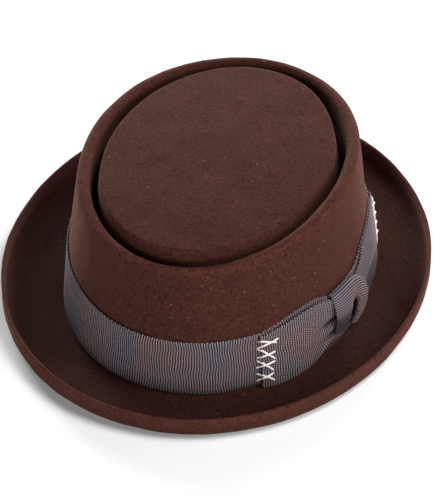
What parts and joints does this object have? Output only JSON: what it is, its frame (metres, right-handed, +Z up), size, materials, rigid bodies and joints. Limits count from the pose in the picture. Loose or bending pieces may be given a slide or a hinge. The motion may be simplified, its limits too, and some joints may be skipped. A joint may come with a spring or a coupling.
{
  "type": "porkpie hat",
  "caption": "Brown felt porkpie hat with a telescoped crown, a short brim curled up all round, and a wide grosgrain band with a flat bow on the wearer's left.",
  "frame": {"origin": "on the floor under the middle of the brim, which rests flat at z = 0", "axes": "+Z up, -Y the hat's front, +X the wearer's left, where the bow is"},
  "size_m": [0.2464, 0.2804, 0.0968],
  "materials": {
    "felt": "brushed wool felt, matt",
    "ribbon": "ribbed grosgrain, soft sheen",
    "thread": "off-white cotton thread, matt"
  },
  "bodies": {
    "root": {"felt_body": "felt", "hat_band": "ribbon", "bow_loops": "ribbon", "bow_knot": "ribbon"}
  },
  "joints": []
}
